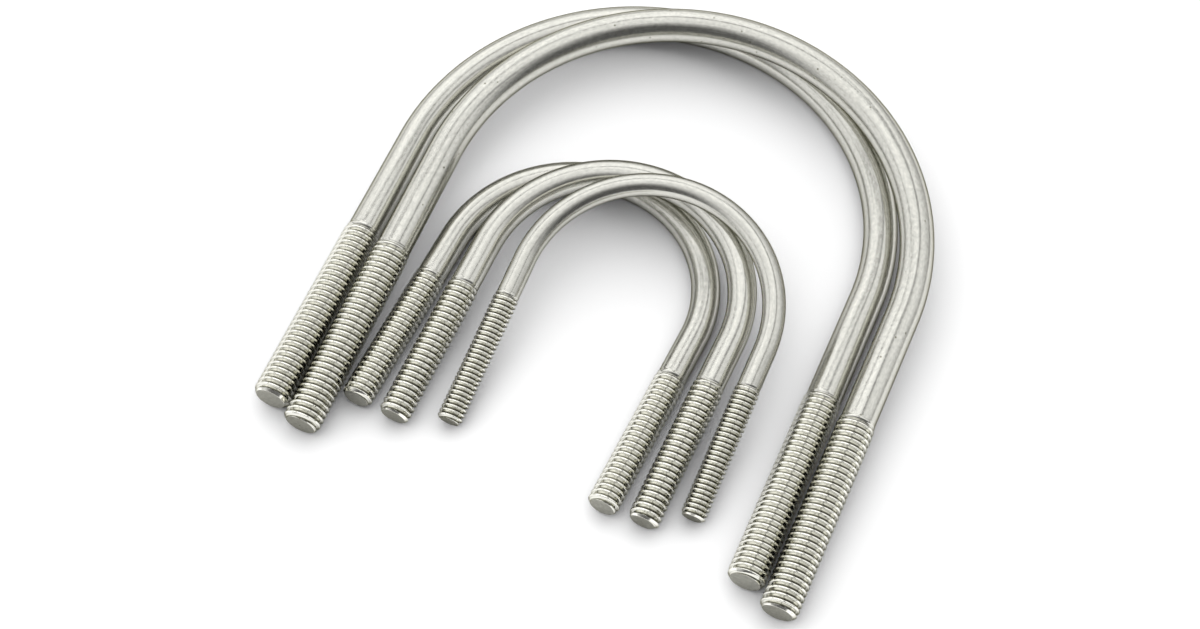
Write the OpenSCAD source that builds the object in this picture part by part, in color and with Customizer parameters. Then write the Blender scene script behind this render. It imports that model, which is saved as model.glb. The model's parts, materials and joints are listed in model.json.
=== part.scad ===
// Loose stainless U-bolts in three sizes, lying one over another on a flat surface.
// Each bolt is one round bar: a half-ring bend, two straight legs and a threaded end on each leg.
// A bolt's own frame has the bend centre at the origin, the crown towards +Y and the legs along -Y.

/* [Large bolts, 3/8 in] */
// Distance between the leg axes
large_centres = 124.5; // [110:0.5:140]
// Length of each straight leg, from the bend centre to the tip
large_leg = 83.5; // [70:0.5:100]
// Length of thread on each leg
large_thread = 53; // [30:0.5:60]
// Diameter of the plain bar
large_bar_d = 8.7; // [8.3:0.1:9.4]
// Diameter over the thread crests
large_thread_d = 9.525; // [9.5:0.005:9.6]

/* [Small bolts, 5/16 in] */
// Distance between the leg axes
small_centres = 67; // [62:0.5:72]
// Length of each straight leg, from the bend centre to the tip
small_leg = 52; // [45:0.5:56]
// Length of thread on each leg
small_thread = 39.5; // [25:0.5:42]
// Diameter of the plain bar
small_bar_d = 7.3; // [7:0.1:7.8]
// Diameter over the thread crests
small_thread_d = 7.94; // [7.9:0.01:8]

/* [Thin bolt, 1/4 in] */
// Distance between the leg axes
thin_centres = 64.5; // [60:0.5:68]
// Length of each straight leg, from the bend centre to the tip
thin_leg = 45.5; // [40:0.5:50]
// Length of thread on each leg
thin_thread = 35.5; // [25:0.5:38]
// Diameter of the plain bar
thin_bar_d = 5.8; // [5.5:0.1:6.2]
// Diameter over the thread crests
thin_thread_d = 6.35; // [6.3:0.01:6.4]

/* [Leg ends] */
// Chamfer at each tip, as a share of the thread diameter
chamfer_share = 0.07; // [0.04:0.01:0.1]

/* [Lie of the bolts] */
// Bend centre of the large back bolt, which lies flat
large_back_at = [-5, 10.7]; // [-80:0.1:80]
// Bend centre of the large front bolt, which leans on the back one
large_front_at = [5.4, 6.7]; // [-80:0.1:80]
// Turn of the large front bolt
large_front_turn = -0.4; // [-3:0.1:3]
// Height of the large front bolt's axis at its crown
large_front_crown = 14; // [13.8:0.1:20]
// Bend centre of the small left bolt, which lies flat
small_left_at = [-12.1, -14]; // [-80:0.1:80]
// Turn of the small left bolt
small_left_turn = -3; // [-5:0.1:0]
// Bend centre of the small middle bolt, which leans on the left one
small_middle_at = [-2.4, -14.4]; // [-80:0.1:80]
// Turn of the small middle bolt
small_middle_turn = -2.2; // [-4:0.1:0]
// Height of the small middle bolt's axis at its crown
small_middle_crown = 11.3; // [11.2:0.1:16]
// Bend centre of the thin right bolt, which leans on the small middle one
thin_right_at = [7.9, -16.3]; // [-80:0.1:80]
// Turn of the thin right bolt
thin_right_turn = -0.9; // [-3:0.1:1]
// Height of the thin right bolt's axis at its crown
thin_right_crown = 18; // [17.8:0.1:24]

/* [Hidden] */
$fn = 96;

// A bolt size is [leg centres, leg length, thread length, bar diameter, thread diameter].
large = [large_centres, large_leg, large_thread, large_bar_d, large_thread_d];
small = [small_centres, small_leg, small_thread, small_bar_d, small_thread_d];
thin = [thin_centres, thin_leg, thin_thread, thin_bar_d, thin_thread_d];

function bend_r(size) = size[0] / 2;
function leg_len(size) = size[1];
function thread_len(size) = size[2];
function bar_r(size) = size[3] / 2;
function thread_r(size) = size[4] / 2;
function chamfer(size) = chamfer_share * size[4];

// A flat bolt touches the surface at its crown and where its thicker threads begin.
function flat_tilt(size) =
    -asin((thread_r(size) - bar_r(size)) / (bend_r(size) + leg_len(size) - thread_len(size)));

// A leaning bolt touches the surface at its tips and has its crown held up by the bolt below.
function lean_tilt(size, crown_h) = asin((crown_h - thread_r(size)) / (bend_r(size) + leg_len(size)));

// Half section of one leg, drawn from the bend (height 0) to the tip, turned about the leg's axis.
module leg_section(size) {
    start = leg_len(size) - thread_len(size);
    runout = thread_r(size) - bar_r(size);
    polygon([
        [0, 0],
        [bar_r(size), 0],
        [bar_r(size), start],
        [thread_r(size), start + runout],
        [thread_r(size), leg_len(size) - chamfer(size)],
        [thread_r(size) - chamfer(size), leg_len(size)],
        [0, leg_len(size)]
    ]);
}

module u_bolt(size) {
    rotate_extrude(angle = 180)
        translate([bend_r(size), 0])
            circle(r = bar_r(size));
    for (side = [-1, 1])
        translate([side * bend_r(size), 0, 0])
            rotate([90, 0, 0])
                rotate_extrude()
                    leg_section(size);
}

// Lays a bolt down: its bend centre over a place, turned about the vertical, crown axis at a height.
module lay(size, at, turn, tilt, crown_h) {
    translate([at[0], at[1], crown_h - bend_r(size) * sin(tilt)])
        rotate([0, 0, turn])
            rotate([tilt, 0, 0])
                u_bolt(size);
}

module large_bolt_back() {
    color("#bdbbb4") lay(large, large_back_at, 0, flat_tilt(large), bar_r(large));
}

module large_bolt_front() {
    color("#c4c2bb")
        lay(large, large_front_at, large_front_turn, lean_tilt(large, large_front_crown), large_front_crown);
}

module small_bolt_left() {
    color("#b9b7b0") lay(small, small_left_at, small_left_turn, flat_tilt(small), bar_r(small));
}

module small_bolt_middle() {
    color("#c0beb7")
        lay(small, small_middle_at, small_middle_turn, lean_tilt(small, small_middle_crown), small_middle_crown);
}

module thin_bolt_right() {
    color("#c6c4bd")
        lay(thin, thin_right_at, thin_right_turn, lean_tilt(thin, thin_right_crown), thin_right_crown);
}

large_bolt_back();
large_bolt_front();
small_bolt_left();
small_bolt_middle();
thin_bolt_right();
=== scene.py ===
import json

import bpy
import numpy as np
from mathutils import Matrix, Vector


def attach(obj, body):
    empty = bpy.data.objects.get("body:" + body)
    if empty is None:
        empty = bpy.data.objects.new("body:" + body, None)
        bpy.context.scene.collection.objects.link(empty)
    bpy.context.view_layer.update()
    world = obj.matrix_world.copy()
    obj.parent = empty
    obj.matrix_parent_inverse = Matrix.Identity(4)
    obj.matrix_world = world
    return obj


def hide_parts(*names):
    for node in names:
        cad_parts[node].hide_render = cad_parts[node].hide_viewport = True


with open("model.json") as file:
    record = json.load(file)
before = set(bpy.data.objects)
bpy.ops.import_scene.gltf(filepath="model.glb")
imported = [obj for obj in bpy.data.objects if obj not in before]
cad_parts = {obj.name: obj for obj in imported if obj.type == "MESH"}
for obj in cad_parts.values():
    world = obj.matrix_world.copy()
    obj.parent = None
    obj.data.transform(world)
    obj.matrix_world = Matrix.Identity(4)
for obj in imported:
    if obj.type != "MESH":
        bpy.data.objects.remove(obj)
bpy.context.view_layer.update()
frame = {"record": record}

# Large back bolt
# A 3/8 in round stainless bar, bent cold to a half ring, with a thread rolled on each leg before the bend.
# It lies flat on its crown and on the first turns of its threads, and nothing fastens it.

MM = 0.001
INCH = 0.0254
UP = np.array((0.0, 0.0, 1.0))


def bolt_axes(studs_name, leg, thread):
    """Bend centre, unit axes, bend radius and thread radius of a bolt, from its two studs in the record.
    Across runs level from the left leg to the right one, crown runs back along the legs, and up is their
    normal. The bend centre lies behind the middle of the threads by a leg less half a thread."""
    studs = next(m for m in frame["record"]["mounts"] if m["name"] == studs_name)
    crown = -np.array(studs["axis"]) / np.linalg.norm(studs["axis"])
    across = np.cross(crown, UP)
    across /= np.linalg.norm(across)
    up = np.cross(across, crown)
    centre = np.array(studs["pos_m"]) + crown * (leg - thread / 2)
    bend_r = studs["dims"]["pcd_mm"] * MM / 2
    thread_r = studs["dims"]["stud_r_mm"] * MM
    return centre, across, crown, up, bend_r, thread_r


AROUND = 32
ROWS_PER_TURN = AROUND
FINE_PAST_THREAD = 2.0
PLAIN_ROWS = 110


def bar_rows(leg, thread, bend_r, pitch):
    """Distances along the bar of its rows, from the left tip to the right: even and close in the threads
    and two pitches past them, and wider in the rest. A turn of thread has as many rows as the bar has
    columns, so that the mesh's diagonals follow the thread."""
    fine = np.arange(0.0, thread + FINE_PAST_THREAD * pitch, pitch / ROWS_PER_TURN)
    half = leg + bend_r * np.pi / 2.0
    coarse = np.linspace(fine[-1], half, PLAIN_ROWS)[1:]
    rows = np.concatenate([fine, coarse])
    return np.concatenate([rows, (2.0 * half - rows)[-2::-1]])


def bar_path(rows, axes, leg):
    """Centre and in-plane outward normal of the bar at each distance: a straight leg, a half circle and a
    straight leg, with the angle along the half circle held at its ends on the legs."""
    centre, across, crown, up, bend_r = axes[:5]
    turned = np.pi - np.clip((rows - leg) / bend_r, 0.0, np.pi)
    normal = np.cos(turned)[:, None] * across + np.sin(turned)[:, None] * crown
    total = 2.0 * leg + np.pi * bend_r
    behind = np.maximum(leg - rows, 0.0) + np.maximum(rows - (total - leg), 0.0)
    return centre + bend_r * normal - behind[:, None] * crown, normal, up


def ramp(value, start, end):
    """Smooth step from 0 at start to 1 at end: 3 t squared less 2 t cubed, with t held between 0 and 1."""
    t = np.clip((value - start) / (end - start), 0.0, 1.0)
    return t * t * (3.0 - 2.0 * t)


# In pitches: from the middle of a crest to the edge of the root, and along a flank.
# The last is the share of a flank's rise that is softened.
ROOT_EDGE = 0.46
FLANK = 0.35
SOFTENED = 0.15


def thread_height(turns):
    """Height of a rolled thread, from 0 in the root to 1 on the crest, over the turns travelled: straight
    flanks between a flat crest and a narrow flat root, a little softened at both."""
    off_crest = np.abs(turns - np.round(turns))
    flank = np.clip((ROOT_EDGE - off_crest) / FLANK, 0.0, 1.0)
    return (1.0 - SOFTENED) * flank + SOFTENED * ramp(flank, 0.0, 1.0)


COLUMN = np.arange(AROUND)
TURN_SHARE = COLUMN / AROUND
ANGLE = TURN_SHARE * 2.0 * np.pi

# In pitches: the depth, which makes a 60 degree vee, and the run-out from plain bar to full thread.
# Then how far the second leg's thread is turned, and the chamfer as a share of the thread's radius.
THREAD_DEPTH = 0.6
RUN_OUT_BEYOND = 0.4
RUN_OUT_WITHIN = 1.6
SECOND_LEG_TURN = 0.37
CHAMFER_SHARE = 0.2


def bolt_radius(rows, thread, bar_r, thread_r, pitch, first_turn):
    """Radius and thread height at each row and column, and how far the thread is formed in each row.
    The height follows the turns travelled less the column's share of a turn, so that the crest winds round
    the bar. The radius blends from the plain bar into the thread over the run-out, and a 45 degree cone
    cuts the tip."""
    total = rows[-1]
    tip = np.minimum(rows, total - rows)[:, None]
    leg_turn = np.where(rows < total / 2.0, 0.0, SECOND_LEG_TURN)[:, None]
    height = thread_height(rows[:, None] / pitch - TURN_SHARE + first_turn + leg_turn)
    threaded = thread_r - THREAD_DEPTH * pitch * (1.0 - height)
    formed = ramp(tip, thread + RUN_OUT_BEYOND * pitch, thread - RUN_OUT_WITHIN * pitch)
    radius = bar_r + formed * (threaded - bar_r)
    face_r = thread_r - CHAMFER_SHARE * thread_r
    return np.minimum(radius, face_r + tip), height, formed


def bar_surface(path, radius):
    """Points of a bar: at each row the path's centre plus the radius times the in-plane normal turned about
    the path by the column's angle."""
    centre, normal, up = path
    spoke = np.cos(ANGLE)[None, :, None] * normal[:, None, :] + np.sin(ANGLE)[None, :, None] * up
    return centre[:, None, :] + radius[:, :, None] * spoke


def bar_faces(rings):
    """Triangles of a closed bar of so many rings, whose two end points come after them: two triangles to
    a cell of the grid, and a fan round each end point."""
    row = np.arange(rings - 1)[:, None] * AROUND
    beside = (COLUMN + 1) % AROUND
    here = row + COLUMN
    next_column = row + beside
    upper = np.stack([here, next_column, next_column + AROUND], -1).reshape(-1, 3)
    lower = np.stack([here, next_column + AROUND, here + AROUND], -1).reshape(-1, 3)
    last_ring = (rings - 1) * AROUND
    first_point = rings * AROUND
    first_fan = np.stack([np.full(AROUND, first_point), beside, COLUMN], -1)
    last_fan = np.stack([np.full(AROUND, first_point + 1), last_ring + COLUMN, last_ring + beside], -1)
    return np.concatenate([upper, lower, first_fan, last_fan])


def put_attribute(mesh, title, values):
    """Gives each point of a mesh a number, or a vector where the values have rows of three."""
    kind, field = ("FLOAT_VECTOR", "vector") if values.ndim == 2 else ("FLOAT", "value")
    layer = mesh.attributes.new(title, kind, "POINT")
    layer.data.foreach_set(field, values.ravel().astype(np.float32))


CAP_RINGS = np.array((0.35, 0.68, 0.9, 0.985))
SHARP_EDGE = np.radians(55.0)


def make_bolt(name, studs_name, leg, thread, bar_r, pitch, first_turn, material):
    """One bolt as a closed surface: the radius carried along the path, then at each tip rings at falling
    shares of its radius and a point. The coordinates of the bar before its bend, the depth towards the
    thread's root, the rolled length and the cut faces go with it as attributes."""
    axes = bolt_axes(studs_name, leg, thread)
    bend_r, thread_r = axes[4:]
    rows = bar_rows(leg, thread, bend_r, pitch)
    radius, height, formed = bolt_radius(rows, thread, bar_r, thread_r, pitch, first_turn)
    path = bar_path(rows, axes, leg)
    points = bar_surface(path, radius)
    middles = path[0][[0, -1]]
    spokes = points[[0, -1]] - middles[:, None]
    first_cap, last_cap = middles[:, None, None] + CAP_RINGS[:, None, None] * spokes[:, None]
    rings = np.concatenate([first_cap, points, last_cap[::-1]])
    vertices = np.concatenate([rings.reshape(-1, 3), middles])
    mesh = bpy.data.meshes.new(name)
    mesh.from_pydata(vertices.tolist(), [], bar_faces(len(rings)).tolist())
    mesh.shade_smooth()
    mesh.set_sharp_from_angle(angle=SHARP_EDGE)

    caps = len(CAP_RINGS)
    width = np.concatenate([CAP_RINGS[:, None] * radius[:1], radius, CAP_RINGS[::-1, None] * radius[-1:]])
    along = np.repeat(np.pad(rows, caps, mode="edge")[:, None], AROUND, 1)
    straight = np.stack([width * np.cos(ANGLE), width * np.sin(ANGLE), along], -1).reshape(-1, 3)
    end_points = [[0.0, 0.0, 0.0], [0.0, 0.0, rows[-1]]]
    rootward = np.pad(formed * (1.0 - height), ((caps, caps), (0, 0)))
    rolled = np.repeat(np.pad(formed[:, 0], caps), AROUND)
    cut = np.repeat(np.pad(np.zeros(len(rows)), caps, constant_values=1.0), AROUND)
    put_attribute(mesh, "straight_bar", np.concatenate([straight, end_points]))
    put_attribute(mesh, "thread_root", np.append(rootward, (0.0, 0.0)))
    put_attribute(mesh, "rolled", np.append(rolled, (0.0, 0.0)))
    put_attribute(mesh, "cut_face", np.append(cut, (1.0, 1.0)))
    mesh.materials.append(material)
    bolt = bpy.data.objects.new(name, mesh)
    bpy.context.collection.objects.link(bolt)
    return bolt


def calc(tree, operation, first, second):
    """One sum on two sockets or numbers in a node tree, as a socket."""
    node = tree.nodes.new("ShaderNodeMath")
    node.operation = operation
    for socket, value in zip(node.inputs, (first, second)):
        if isinstance(value, float):
            socket.default_value = value
        else:
            tree.links.new(value, socket)
    return node.outputs[0]


def shift(tree, value, edges, levels):
    """A soft change between two levels as a socket's value goes between two edges, as a socket."""
    node = tree.nodes.new("ShaderNodeMapRange")
    node.interpolation_type = "SMOOTHSTEP"
    tree.links.new(value, node.inputs["Value"])
    for title, number in zip(("From Min", "From Max", "To Min", "To Max"), edges + levels):
        node.inputs[title].default_value = number
    return node.outputs["Result"]


# Each noise's scale per metre, its detail, and its scale along the bar against that across it
NOISES = {
    "lines": (2600.0, 3.0, 0.012),
    "streak": (850.0, 2.0, 0.03),
    "wave": (480.0, 2.0, 0.22),
    "mottle": (1500.0, 4.0, 0.6),
    "cloud": (120.0, 3.0, 0.35),
}
NOISE_MEAN = 0.5

# Share of the noises that rolling wipes off, the angle that the die's waves run through from crest to root,
# how late the painted root shade comes towards the root and how strong it gets, and the pits' scale and
# edges
WIPED = 0.8
DIE_WAVE = 9.42
ROOT_SHADE_POWER = 8.0
ROOT_SHADE_MOST = 0.9
PIT_SCALE = 330.0
PIT_EDGES = (0.1, 0.05)

# What each pattern adds to the bar's shade, its roughness and its height
SHADE = 1.0
# The root's weight darkens the thread's flanks towards the root: painted shade in the grooves
SHADE_BY = {
    "rolled": 0.3, "root": -0.22, "lines": 0.4, "mottle": 0.8, "streak": 0.5, "die_line": 0.2, "cut": -0.3,
}
ROUGHNESS = 0.21
ROUGHNESS_BY = {"rolled": -0.07, "lines": 0.2, "mottle": 0.2, "cloud": 0.14, "cut": 0.2}
HEIGHT = 0.0
HEIGHT_BY = {"wave": 0.6, "streak": 0.32, "lines": 0.16, "mottle": 0.24, "cut_grain": 1.0, "pit": -0.5}


def drawn_bar_group():
    """Finish of a drawn and polished bar. Noises on the coordinates of the straight bar, less their mean,
    give lines and streaks along it, a mottle, broad waves and clouds. Rolling wipes most of these off the
    thread, burnishes its crests and leaves die lines, a cosine of the depth. The thread darkens towards its
    roots and turns olive in their deepest part, as painted shade in the grooves; a few pits carry an olive
    stain of their own, and the cut ends are dull. Shade, roughness and height are each a start plus the
    patterns times their weights."""
    group = bpy.data.node_groups.new("drawn_bar", "ShaderNodeTree")
    for title in ("Lines", "Mottle", "Pits", "Seed"):
        group.interface.new_socket(title, in_out="INPUT", socket_type="NodeSocketFloat")
    for title in ("Shade", "Pit_stain_and_root_shade", "Roughness", "Height"):
        group.interface.new_socket(title, in_out="OUTPUT", socket_type="NodeSocketFloat")
    nodes, link = group.nodes, group.links.new
    given = nodes.new("NodeGroupInput").outputs
    out = nodes.new("NodeGroupOutput").inputs

    def attribute(title, field):
        """One of the bolt's own attributes, as a socket."""
        node = nodes.new("ShaderNodeAttribute")
        node.attribute_name = title
        return node.outputs[field]

    def times(first, second):
        """Product of two sockets or numbers, as a socket."""
        return calc(group, "MULTIPLY", first, second)

    def place(lengthwise):
        """Coordinates of the straight bar, scaled along it and moved by the seed, as a socket."""
        scaled = nodes.new("ShaderNodeMapping")
        scaled.inputs["Scale"].default_value = (1.0, 1.0, lengthwise)
        link(attribute("straight_bar", "Vector"), scaled.inputs["Vector"])
        moved = nodes.new("ShaderNodeVectorMath")
        moved.operation = "ADD"
        link(scaled.outputs["Vector"], moved.inputs[0])
        link(given["Seed"], moved.inputs[1])
        return moved.outputs["Vector"]

    def noise(title, mask):
        """A noise less its mean, times a mask, as a socket."""
        scale, detail, lengthwise = NOISES[title]
        node = nodes.new("ShaderNodeTexNoise")
        node.inputs["Scale"].default_value = scale
        node.inputs["Detail"].default_value = detail
        link(place(lengthwise), node.inputs["Vector"])
        return times(calc(group, "SUBTRACT", node.outputs["Fac"], NOISE_MEAN), mask)

    root = attribute("thread_root", "Fac")
    rolled = attribute("rolled", "Fac")
    cut = attribute("cut_face", "Fac")
    plain = calc(group, "SUBTRACT", 1.0, times(rolled, WIPED))
    drawn = times(plain, given["Lines"])
    rubbed = times(plain, given["Mottle"])
    cells = nodes.new("ShaderNodeTexVoronoi")
    cells.inputs["Scale"].default_value = PIT_SCALE
    link(place(1.0), cells.inputs["Vector"])
    pit = times(shift(group, cells.outputs["Distance"], PIT_EDGES, (0.0, 1.0)), given["Pits"])
    mottle = noise("mottle", rubbed)
    patterns = {
        "root": root,
        "rolled": rolled,
        "cut": cut,
        "pit": pit,
        "mottle": mottle,
        "lines": noise("lines", drawn),
        "streak": noise("streak", drawn),
        "wave": noise("wave", rubbed),
        "cloud": noise("cloud", rubbed),
        "die_line": times(calc(group, "COSINE", times(root, DIE_WAVE), 0.0), rolled),
        "cut_grain": times(mottle, cut),
    }

    def mixed(start, weights):
        """A start plus the patterns, each times its weight, as a socket."""
        for title, weight in weights.items():
            start = calc(group, "ADD", start, times(patterns[title], weight))
        return start

    # Painted shade: the deepest part of each thread root turns olive, joined here with the pits' own stain
    painted_root_shade = times(calc(group, "POWER", root, ROOT_SHADE_POWER), ROOT_SHADE_MOST)
    link(calc(group, "MAXIMUM", painted_root_shade, pit), out["Pit_stain_and_root_shade"])
    link(mixed(SHADE, SHADE_BY), out["Shade"])
    link(mixed(ROUGHNESS, ROUGHNESS_BY), out["Roughness"])
    link(mixed(HEIGHT, HEIGHT_BY), out["Height"])
    return group


drawn_bar = drawn_bar_group()
STEEL = (0.66, 0.655, 0.605, 1.0)
# Olive of the pits' stain and of the painted shade in the thread roots
OLIVE = (0.17, 0.165, 0.1, 1.0)
EDGE_TINT = (0.1, 0.095, 0.04, 1.0)
BUMP = 0.06 * MM


def stainless(name, lines, mottle, pits, seed):
    """Bright stainless steel: a metal of one colour times the drawn bar's shade, turned to olive at its
    pits and, as painted shade, in its thread roots, and dark at grazing angles, with the same group's
    roughness and a shallow bump from its height."""
    material = bpy.data.materials.new(name)
    material.use_nodes = True
    nodes, link = material.node_tree.nodes, material.node_tree.links.new
    finish = nodes.new("ShaderNodeGroup")
    finish.node_tree = drawn_bar
    for title, value in (("Lines", lines), ("Mottle", mottle), ("Pits", pits), ("Seed", seed)):
        finish.inputs[title].default_value = value
    shaded = nodes.new("ShaderNodeMix")
    shaded.data_type = "RGBA"
    shaded.blend_type = "MULTIPLY"
    shaded.inputs["Factor"].default_value = 1.0
    shaded.inputs["A"].default_value = STEEL
    link(finish.outputs["Shade"], shaded.inputs["B"])
    # Turns the steel olive at its pits and, as painted shade, in its thread roots
    stained_and_shaded = nodes.new("ShaderNodeMix")
    stained_and_shaded.data_type = "RGBA"
    link(finish.outputs["Pit_stain_and_root_shade"], stained_and_shaded.inputs["Factor"])
    link(shaded.outputs["Result"], stained_and_shaded.inputs["A"])
    stained_and_shaded.inputs["B"].default_value = OLIVE
    bump = nodes.new("ShaderNodeBump")
    bump.inputs["Strength"].default_value = 1.0
    bump.inputs["Distance"].default_value = BUMP
    link(finish.outputs["Height"], bump.inputs["Height"])
    steel = nodes["Principled BSDF"].inputs
    steel["Metallic"].default_value = 1.0
    steel["Specular Tint"].default_value = EDGE_TINT
    link(stained_and_shaded.outputs["Result"], steel["Base Color"])
    link(finish.outputs["Roughness"], steel["Roughness"])
    link(bump.outputs["Normal"], steel["Normal"])
    return material


LARGE = {"leg": 83.5 * MM, "thread": 53.0 * MM, "bar_r": 8.7 * MM / 2, "pitch": INCH / 16}
large_back_steel = stainless("stainless_large_back", lines=0.5, mottle=0.5, pits=0.2, seed=1.3)
large_back = make_bolt("large_back", "large_back_studs", **LARGE, first_turn=0.1, material=large_back_steel)
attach(large_back, "large_back")
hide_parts("large_bolt_back")

# Large front bolt
# The same stainless bar and bend as the back one, made to the same sizes. Its steel has more pits.
# Its tips stand on the table and its crown rests on the back bolt's, so it leans a few degrees.

large_front_steel = stainless("stainless_large_front", lines=0.55, mottle=0.6, pits=0.9, seed=5.7)
large_front = make_bolt(
    "large_front", "large_front_studs", **LARGE, first_turn=0.55, material=large_front_steel
)
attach(large_front, "large_front")
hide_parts("large_bolt_front")

# Small left bolt
# A 5/16 in stainless bar bent to a half ring of about half the size, with a thread rolled on each leg.
# It lies flat inside the large bolts, and nothing fastens it.

SMALL = {"leg": 52.0 * MM, "thread": 39.5 * MM, "bar_r": 7.3 * MM / 2, "pitch": INCH / 16}
small_left_steel = stainless("stainless_small_left", lines=0.5, mottle=0.55, pits=0.2, seed=9.2)
small_left = make_bolt("small_left", "small_left_studs", **SMALL, first_turn=0.8, material=small_left_steel)
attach(small_left, "small_left")
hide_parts("small_bolt_left")

# Small middle bolt
# The same stainless bar and bend as the left one, made to the same sizes.
# Its tips stand on the table and its crown rests on the left bolt's.

small_middle_steel = stainless("stainless_small_middle", lines=0.5, mottle=0.5, pits=0.2, seed=14.6)
small_middle = make_bolt(
    "small_middle", "small_middle_studs", **SMALL, first_turn=0.25, material=small_middle_steel
)
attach(small_middle, "small_middle")
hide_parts("small_bolt_middle")

# Thin right bolt
# A 1/4 in stainless bar bent to nearly the small bolts' size, with a finer thread rolled on each leg.
# Its tips stand on the table and its crown rests on the small middle bolt's.

THIN = {"leg": 45.5 * MM, "thread": 35.5 * MM, "bar_r": 5.8 * MM / 2, "pitch": INCH / 20}
thin_right_steel = stainless("stainless_thin_right", lines=0.45, mottle=0.45, pits=0.15, seed=21.1)
thin_right = make_bolt("thin_right", "thin_right_studs", **THIN, first_turn=0.6, material=thin_right_steel)
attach(thin_right, "thin_right")
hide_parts("thin_bolt_right")

# Table
# A plain white table top that the bolts lie on, made as one flat sheet that runs out of view.
# It takes their soft shadows and shows white where nothing shades it.


def flat_sheet(name, middle, right, away, material):
    """A flat sheet whose corners are its middle plus or less the right and away vectors."""
    corners = (middle - right - away, middle + right - away, middle + right + away, middle - right + away)
    mesh = bpy.data.meshes.new(name)
    mesh.from_pydata([corner.tolist() for corner in corners], [], [(0, 1, 2, 3)])
    mesh.materials.append(material)
    sheet = bpy.data.objects.new(name, mesh)
    bpy.context.collection.objects.link(sheet)
    return sheet


def plain_paint(name, shader, field, value):
    """A material of one shader node with one of its inputs set."""
    material = bpy.data.materials.new(name)
    material.use_nodes = True
    nodes = material.node_tree.nodes
    nodes.remove(nodes["Principled BSDF"])
    paint = nodes.new(shader)
    paint.inputs[field].default_value = value
    material.node_tree.links.new(paint.outputs[0], nodes["Material Output"].inputs["Surface"])
    return material


TABLE_RIGHT = np.array((3.0, 0.0, 0.0))
TABLE_AWAY = np.array((0.0, 3.0, 0.0))
TABLE_WHITE = (0.95, 0.95, 0.95, 1.0)
white = plain_paint("white_table", "ShaderNodeBsdfDiffuse", "Color", TABLE_WHITE)
table = flat_sheet("table", np.zeros(3), TABLE_RIGHT, TABLE_AWAY, white)

# Light tent
# White cloth round the table, open towards the camera, where the room is dark. The world stands in for it.
# It is brightest in a panel overhead at the back, and dimmer in its far right corner and near the table.

# The camera's turn round the set, and level directions as the camera sees them
AZIMUTH = np.radians(23.02)
AWAY = np.array((-np.sin(AZIMUTH), np.cos(AZIMUTH), 0.0))
RIGHT = np.array((np.cos(AZIMUTH), np.sin(AZIMUTH), 0.0))
OPENING_TURN = AZIMUTH + np.radians(9.0)
OPENING = np.array((np.sin(OPENING_TURN), -np.cos(OPENING_TURN), 0.0))
CORNER_TURN = AZIMUTH + np.radians(32.0)
FAR_CORNER = np.array((np.cos(CORNER_TURN), np.sin(CORNER_TURN), 0.0))
PANEL = -0.15 * RIGHT + 0.65 * AWAY + 0.745 * UP

# Cosines of the angle to a direction between which the light changes
OPENING_EDGES = (0.06, 0.72)
OPENING_FOOT = (0.0, 0.07)
CORNER_EDGES = (0.62, 1.0)
HEM_EDGES = (0.0, 0.32)
PANEL_EDGES = (0.72, 0.97)

# Brightness of the cloth, its far corner and the room, and what the hem and the panel multiply it by
TENT = 1.05
CORNER = 0.7
ROOM = 0.12
HEM_GAIN = 0.5
PANEL_GAIN = 1.32
world = bpy.data.worlds.new("studio")
bpy.context.scene.world = world
world.use_nodes = True
tent = world.node_tree
looking = tent.nodes.new("ShaderNodeTexCoord").outputs["Generated"]


def along(axis):
    """How far the direction looked in runs along an axis, as a socket."""
    node = tent.nodes.new("ShaderNodeVectorMath")
    node.operation = "DOT_PRODUCT"
    tent.links.new(looking, node.inputs[0])
    node.inputs[1].default_value = tuple(axis)
    return node.outputs["Value"]


rise = along(UP)
opening = shift(tent, along(OPENING), OPENING_EDGES, (0.0, 1.0))
opening = calc(tent, "MULTIPLY", opening, shift(tent, rise, OPENING_FOOT, (0.0, 1.0)))
cloth = shift(tent, along(FAR_CORNER), CORNER_EDGES, (TENT, CORNER))
cloth = calc(tent, "MULTIPLY", cloth, shift(tent, rise, HEM_EDGES, (HEM_GAIN, 1.0)))
cloth = calc(tent, "MULTIPLY", cloth, shift(tent, along(PANEL), PANEL_EDGES, (1.0, PANEL_GAIN)))
cloth = calc(tent, "MULTIPLY", calc(tent, "SUBTRACT", 1.0, opening), cloth)
level = calc(tent, "ADD", cloth, calc(tent, "MULTIPLY", opening, ROOM))
background = tent.nodes["Background"].inputs
background["Color"].default_value = (1.0, 1.0, 1.0, 1.0)
tent.links.new(level, background["Strength"])

# Key lamp
# A wide soft lamp over the tent, a little to the back and left.
# It lights the table and shades it under the bolts, and the steel doesn't show it.

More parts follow.
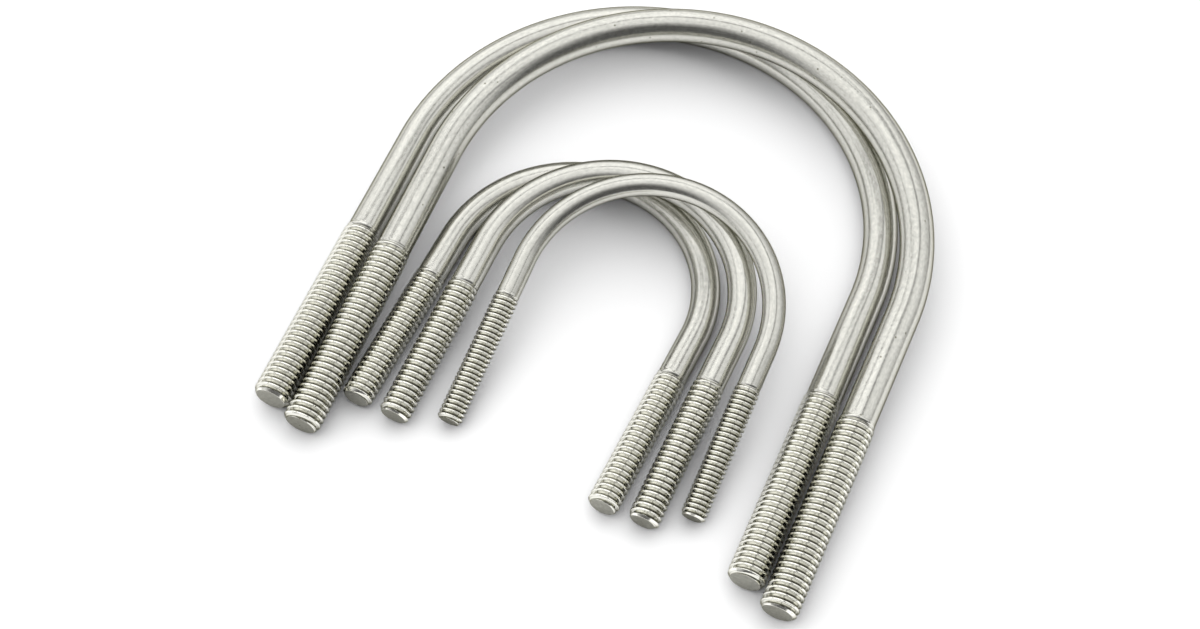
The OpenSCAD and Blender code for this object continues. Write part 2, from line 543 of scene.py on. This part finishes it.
KEY_TURN = np.radians(40.0)
KEY_RISE = np.radians(74.0)
KEY_ENERGY = 1.45
KEY_WIDTH = np.radians(140.0)
key_level = np.cos(KEY_TURN) * AWAY - np.sin(KEY_TURN) * RIGHT
key_way = np.cos(KEY_RISE) * key_level + np.sin(KEY_RISE) * UP
key_lamp = bpy.data.lights.new("key", "SUN")
key_lamp.energy = KEY_ENERGY
key_lamp.angle = KEY_WIDTH
key = bpy.data.objects.new("key", key_lamp)
key.rotation_euler = Vector(key_way).to_track_quat("Z", "Y").to_euler()
key.visible_glossy = False
bpy.context.collection.objects.link(key)

# Laths
# Flat laths under the tent's roof, dimmer than its cloth: on the right, on the left and across the back.
# They are sheets with a faint light of their own that only the steel shows, and they cast no shadow.

ROOF = 0.3


def hang_lath(name, aside, beyond, wide, deep, glow):
    """A level sheet under the roof, facing down, at distances aside and beyond as the camera sees them."""
    paint = plain_paint(name, "ShaderNodeEmission", "Strength", glow)
    middle = aside * RIGHT + beyond * AWAY + ROOF * UP
    lath = flat_sheet(name, middle, wide / 2 * RIGHT, -deep / 2 * AWAY, paint)
    lath.visible_camera = False
    lath.visible_diffuse = False
    lath.visible_shadow = False


hang_lath("lath_0", aside=0.15, beyond=0.05, wide=0.06, deep=0.5, glow=0.35)
hang_lath("lath_1", aside=-0.255, beyond=0.05, wide=0.06, deep=0.5, glow=0.6)
hang_lath("lath_2", aside=-0.055, beyond=0.19, wide=0.345, deep=0.04, glow=0.25)

# Camera
# A long lens looking down at the set from in front, a little to the right of its legs.
# Light that the steel would throw on the table is left out, which keeps the gaps between the bolts dark.

AIM = np.array((-3.5, -16.6, 0.0)) * MM
DISTANCE = 0.6216
ELEVATION = np.radians(59.83)
LENS_PIXELS = 2470.0
FRAME_PIXELS = 1200.0
SENSOR_MM = 36.0
lens = bpy.data.cameras.new("camera")
lens.sensor_fit = "HORIZONTAL"
lens.sensor_width = SENSOR_MM
lens.lens = LENS_PIXELS / FRAME_PIXELS * SENSOR_MM
camera = bpy.data.objects.new("camera", lens)
back = np.sin(ELEVATION) * UP - np.cos(ELEVATION) * AWAY
camera.location = AIM + DISTANCE * back
camera.rotation_euler = Vector(-back).to_track_quat("-Z", "Y").to_euler()
bpy.context.collection.objects.link(camera)
bpy.context.scene.camera = camera
bpy.context.scene.view_settings.view_transform = "Standard"
bpy.context.scene.cycles.caustics_reflective = False
